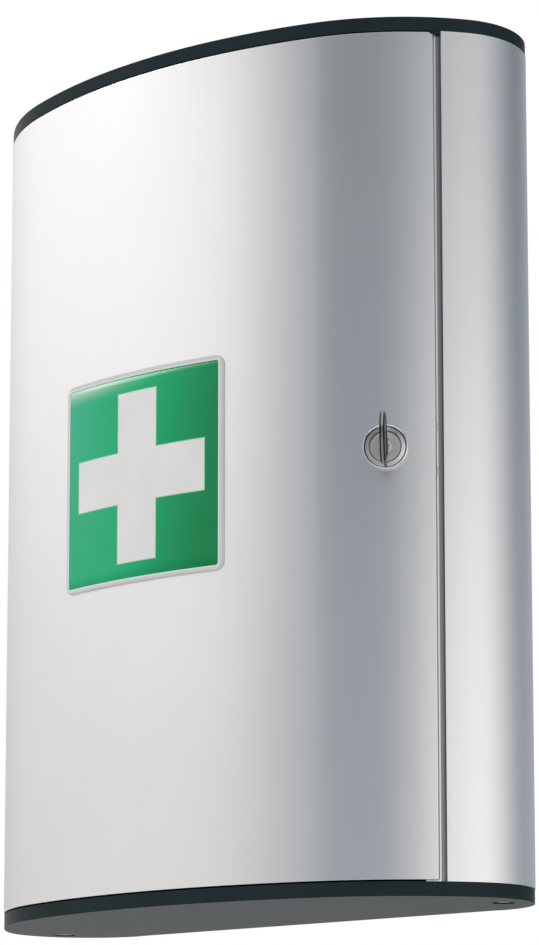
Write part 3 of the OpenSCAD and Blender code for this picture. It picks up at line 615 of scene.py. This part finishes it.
LOCK_EDGES = (
    ("lock_housing", 0.0001, 2), ("lock_nut", 0.0004, 2), ("lock_plug", 0.0001, 2), ("lock_cam", 0.0003, 2),
    ("cam_screw", 0.0002, 2), ("key", 0.00018, 2),
)
SIGN_EDGES = (("sign_plate", 0.0004, 3), ("sign_field", 0, 2), ("sign_cross", 0, 2))


def softened(edges):
    """Adds a table's pieces, and shades the walls of those that follow the outline with its true normals."""
    outline = Outline(bpy.context.scene.cabinet_sizes)
    for node, width, segments in edges:
        obj = softened_copy(node, width, segments)
        shade_walls(obj, outline if SLOT_OF[node] in CURVED_SLOTS else None)


class CABINET_OT_caps(bpy.types.Operator):
    """Moulded top and bottom caps"""

    bl_idname = "cabinet.caps"
    bl_label = "Caps"

    def execute(self, context):
        softened(CAP_EDGES)
        return {"FINISHED"}


class CABINET_OT_shell(bpy.types.Operator):
    """Back panel, side profile, shelves and what joins them"""

    bl_idname = "cabinet.shell"
    bl_label = "Shell"

    def execute(self, context):
        softened(SHELL_EDGES)
        return {"FINISHED"}


class CABINET_OT_door(bpy.types.Operator):
    """Curved door with its moulded ends and hinges"""

    bl_idname = "cabinet.door"
    bl_label = "Door"

    def execute(self, context):
        softened(DOOR_EDGES)
        return {"FINISHED"}


class CABINET_OT_lock(bpy.types.Operator):
    """Cylinder lock, cam and key"""

    bl_idname = "cabinet.lock"
    bl_label = "Lock and key"

    def execute(self, context):
        softened(LOCK_EDGES)
        looks = context.scene.cabinet_finishes
        plug = bpy.data.objects["lock_plug_dressed"]
        plug.data.materials[0] = plated_metal("plug_nickel", looks.plug, 0.36, grain=2600, metallic=0.4)
        return {"FINISHED"}


# The resin's rounded border: its width, its drop, and where loops are cut into it, in from the edge
DOME_WIDTH, DOME_DROP = 0.0045, 0.00018
DOME_CUTS = (0.0002, 0.0005, 0.0009, 0.0014, 0.002, 0.0028, 0.0036, 0.0045)
# How far under the field's face a point still counts as lying on it
DOME_REACH = 0.0001
DOME_SHARP = math.radians(35)
# Painted highlight where the resin meets the sign's border
BORDER_HIGHLIGHT = (0.88, 0.91, 0.88)


def dome_sign(obj, outline, sizes):
    """Rounds the field's borders down, as poured resin lies, by cutting loops into them and sinking these."""
    turn = -math.pi / 2 + sizes.sign_shift / outline.front_radius
    out = Vector((math.cos(turn), math.sin(turn), 0.0))
    along = Vector((-out.y, out.x, 0.0))
    half = sizes.field / 2
    bm = bmesh.new()
    bm.from_mesh(obj.data)
    middle = Vector((outline.front.x, outline.front.y, 0.0))
    for way in (along, Vector((0, 0, 1))):
        for side in (-1, 1):
            for cut in DOME_CUTS:
                bmesh.ops.bisect_plane(
                    bm, geom=bm.verts[:] + bm.edges[:] + bm.faces[:], dist=1e-7,
                    plane_co=middle + way * side * (half - cut), plane_no=way,
                )
    top = outline.front_radius + sizes.sign_rise - DOME_REACH
    for vertex in bm.verts:
        leg = vertex.co - middle
        spread = leg.cross(Vector((0, 0, 1))).length
        if spread < top:
            continue
        inside = min(half - abs(leg.dot(along)), half - abs(leg.z))
        share = 1.0 - min(1.0, max(0.0, inside / DOME_WIDTH))
        vertex.co -= Vector((leg.x, leg.y, 0)).normalized() * DOME_DROP * (1 - math.sqrt(1 - share * share))
    mark_sharp(bm, DOME_SHARP)
    bm.to_mesh(obj.data)
    bm.free()


class CABINET_OT_sign(bpy.types.Operator):
    """Raised sign with its bevelled border, green field and white cross"""

    bl_idname = "cabinet.sign"
    bl_label = "Sign"

    def execute(self, context):
        sizes = context.scene.cabinet_sizes
        outline = Outline(sizes)
        softened(SIGN_EDGES)
        plate = bpy.data.objects["sign_plate_dressed"]
        looks = context.scene.cabinet_finishes
        plate.data.materials[0] = sign_border("sign_plate", looks.sign_plate, BORDER_HIGHLIGHT)
        for name in ("sign_field_dressed", "sign_cross_dressed"):
            dome_sign(bpy.data.objects[name], outline, sizes)
            shade_walls(bpy.data.objects[name], outline)
        return {"FINISHED"}


# Studio

# The round card's radius, height and middle; between low and high its levels go from below to above
CARD_RADIUS, CARD_HEIGHT, CARD_MIDDLE = 3.0, 4.6, 1.7
CARD_LOW, CARD_HIGH = 0.135, 1.24
FLAG_RISE, FLAG_FALL = (1.5, 1.75), (2.1, 2.4)
FLAG_TONE = (0.06, 0.07, 0.08)

# Directions in degrees from the cabinet's front, positive to its right; levels are (above, below)
CARD_BASE = (0.22, 0.36)
LEFT_CARD = {"rise": (-215, -55), "fall": (-24, 6), "level": (0.90, 0.37)}
RIGHT_CARD = {"rise": (30, 74), "fall": (80, 150), "level": (0.34, 0.72)}
# The direction where the angle jumps by a turn: only the faint start of the left card's ramp lies there
CARD_SEAM = 160
# Bright light is warm and dim light cool, and between these levels the one turns into the other
WARM, COOL = (1.03, 0.995, 0.985), (0.9, 1.0, 1.11)
TINT_SPAN = (0.25, 0.75)


def card_finish():
    """A base grey with a wide card at the left and a small one at the right, a dark flag, and white above."""
    finish = Finish("card_light", roughness=1.0, emission_strength=1.0, specular_ior_level=0.0)
    finish.set("Base Color", (0, 0, 0))
    point = finish.place()
    z = finish.axes(point)[2]
    offset = 180 - CARD_SEAM
    x, y, _ = finish.axes(finish.stretched(point, (1, 1, 1), (0, 0, math.radians(offset))))
    turn = finish.angle(x, y * -1.0) * (180 / math.pi) - offset
    high = finish.eased(z, CARD_LOW, CARD_HIGH)
    level = high * (CARD_BASE[0] - CARD_BASE[1]) + CARD_BASE[1]
    for card_at in (LEFT_CARD, RIGHT_CARD):
        above, below = card_at["level"]
        span = finish.eased(turn, *card_at["rise"]) * finish.eased(turn, *card_at["fall"], 1.0, 0.0)
        level = level + span * (high * (above - below) + below)
    tint = finish.blend(finish.eased(level, *TINT_SPAN), COOL, WARM)
    light = finish.node("ShaderNodeVectorMath", {"operation": "SCALE"}, {0: tint, "Scale": level})
    flag = finish.eased(z, *FLAG_RISE) * (1.0 - finish.eased(z, *FLAG_FALL))
    light = finish.blend(flag, light, FLAG_TONE)
    finish.set("Emission Color", finish.blend(finish.eased(z, *FLAG_FALL), light, (1.0, 1.0, 1.0)))
    return finish.material


def add_card():
    """A round reflector card that only mirrors and gloss see."""
    bm = bmesh.new()
    bmesh.ops.create_cone(
        bm, segments=96, radius1=CARD_RADIUS, radius2=CARD_RADIUS, depth=CARD_HEIGHT, cap_ends=False
    )
    bmesh.ops.translate(bm, verts=bm.verts, vec=(0, 0, CARD_MIDDLE))
    card = new_object("card", bm)
    card.data.materials.append(card_finish())
    card.visible_camera = card.visible_diffuse = card.visible_shadow = False
    card.visible_transmission = card.visible_volume_scatter = False


def add_lamp(name, place, size, power, mirrored=False):
    """An area lamp that faces the middle of the cabinet."""
    data = bpy.data.lights.new(name, "AREA")
    data.shape = "RECTANGLE"
    data.size, data.size_y = size
    data.energy = power
    lamp = bpy.data.objects.new(name, data)
    bpy.context.scene.collection.objects.link(lamp)
    lamp.location = place
    lamp.rotation_euler = (-Vector(place)).to_track_quat("-Z", "Y").to_euler()
    lamp.visible_glossy = mirrored


FLOOR_SIZE, FLOOR_AT = 30.0, -0.62
# The floor's grey for light, its white for the camera, and the glow that keeps it pale there
FLOOR_GREY, WHITE, BLACK = (0.8, 0.8, 0.8), (1.0, 1.0, 1.0), (0.0, 0.0, 0.0)
FLOOR_GLOW = 0.16
# The world's strength as light, and where it is seen, mirrored or shines through
WORLD_LIGHT, WORLD_SEEN = 0.55, 1.0


def add_floor():
    bm = bmesh.new()
    bmesh.ops.create_grid(bm, x_segments=1, y_segments=1, size=FLOOR_SIZE)
    bmesh.ops.translate(bm, verts=bm.verts, vec=(0, 0, FLOOR_AT))
    floor = new_object("floor", bm)
    paper = Finish("floor_paper", roughness=0.9, emission_strength=FLOOR_GLOW)
    seen = paper.node("ShaderNodeLightPath", output="Is Camera Ray")
    paper.set("Base Color", paper.blend(seen, FLOOR_GREY, WHITE))
    paper.set("Emission Color", paper.blend(seen, BLACK, WHITE))
    floor.data.materials.append(paper.material)


def set_world(scene):
    world = scene.world or bpy.data.worlds.new("studio")
    scene.world = world
    world.use_nodes = True
    tree = world.node_tree
    background = tree.nodes["Background"]
    path = tree.nodes.new("ShaderNodeLightPath")
    seen = path.outputs["Is Camera Ray"]
    for ray in ("Is Glossy Ray", "Is Transmission Ray"):
        either = tree.nodes.new("ShaderNodeMath")
        either.operation = "MAXIMUM"
        tree.links.new(seen, either.inputs[0])
        tree.links.new(path.outputs[ray], either.inputs[1])
        seen = either.outputs[0]
    level = tree.nodes.new("ShaderNodeMapRange")
    level.inputs["To Min"].default_value = WORLD_LIGHT
    level.inputs["To Max"].default_value = WORLD_SEEN
    tree.links.new(seen, level.inputs["Value"])
    background.inputs["Color"].default_value = (1, 1, 1, 1)
    tree.links.new(level.outputs[0], background.inputs["Strength"])


# The camera stands low at the right and looks up a little; its shift keeps the cabinet in the middle
CAMERA_AT = (1.0136, -1.2199, -0.3354)
CAMERA_YAW, CAMERA_PITCH = math.radians(-40.455), math.radians(8.59)
CAMERA_LENS, CAMERA_SENSOR, CAMERA_SHIFT = 126.5, 36.0, 0.25
CAMERA_CLIP = (0.05, 50)


def add_camera(scene):
    data = bpy.data.cameras.new("camera")
    data.lens = CAMERA_LENS
    data.sensor_width = CAMERA_SENSOR
    data.sensor_fit = "AUTO"
    data.shift_y = CAMERA_SHIFT
    data.clip_start, data.clip_end = CAMERA_CLIP
    camera = bpy.data.objects.new("camera", data)
    scene.collection.objects.link(camera)
    camera.location = CAMERA_AT
    level = math.cos(CAMERA_PITCH)
    forward = Vector((math.sin(CAMERA_YAW) * level, math.cos(CAMERA_YAW) * level, math.sin(CAMERA_PITCH)))
    camera.rotation_euler = forward.to_track_quat("-Z", "Y").to_euler()
    scene.camera = camera


class CABINET_OT_stage(bpy.types.Operator):
    """Pale floor, soft studio light and the camera"""

    bl_idname = "cabinet.stage"
    bl_label = "Studio"

    def execute(self, context):
        scene = context.scene
        add_floor()
        set_world(scene)
        add_card()
        add_lamp("key_light", place=(-1.55, -0.75, 1.7), size=(0.9, 0.9), power=19, mirrored=True)
        add_lamp("fill_light", place=(1.6, -1.4, 0.3), size=(1.0, 1.4), power=5)
        add_camera(scene)
        scene.view_settings.view_transform = "Standard"
        return {"FINISHED"}


class CABINET_PT_panel(bpy.types.Panel):
    """The cabinet's sizes, finishes and build steps"""

    bl_idname = "CABINET_PT_panel"
    bl_label = "Medicine cabinet"
    bl_space_type = "VIEW_3D"
    bl_region_type = "UI"
    bl_category = "Cabinet"

    def draw(self, context):
        layout = self.layout
        for group in (context.scene.cabinet_sizes, context.scene.cabinet_finishes):
            column = layout.column()
            for name in group.__annotations__:
                column.prop(group, name)
        for operator in OPERATORS:
            layout.operator(operator.bl_idname)


OPERATORS = (
    CABINET_OT_caps, CABINET_OT_shell, CABINET_OT_door, CABINET_OT_lock, CABINET_OT_sign, CABINET_OT_stage,
)
CLASSES = (CabinetSizes, CabinetFinishes, *OPERATORS, CABINET_PT_panel)


def register():
    for cls in CLASSES:
        bpy.utils.register_class(cls)
    bpy.types.Scene.cabinet_sizes = PointerProperty(type=CabinetSizes)
    bpy.types.Scene.cabinet_finishes = PointerProperty(type=CabinetFinishes)


def unregister():
    del bpy.types.Scene.cabinet_finishes
    del bpy.types.Scene.cabinet_sizes
    for cls in reversed(CLASSES):
        bpy.utils.unregister_class(cls)


def main():
    register()
    bpy.ops.cabinet.caps()
    bpy.ops.cabinet.shell()
    bpy.ops.cabinet.door()
    bpy.ops.cabinet.lock()
    bpy.ops.cabinet.sign()
    bpy.ops.cabinet.stage()


if __name__ == "__main__":
    main()
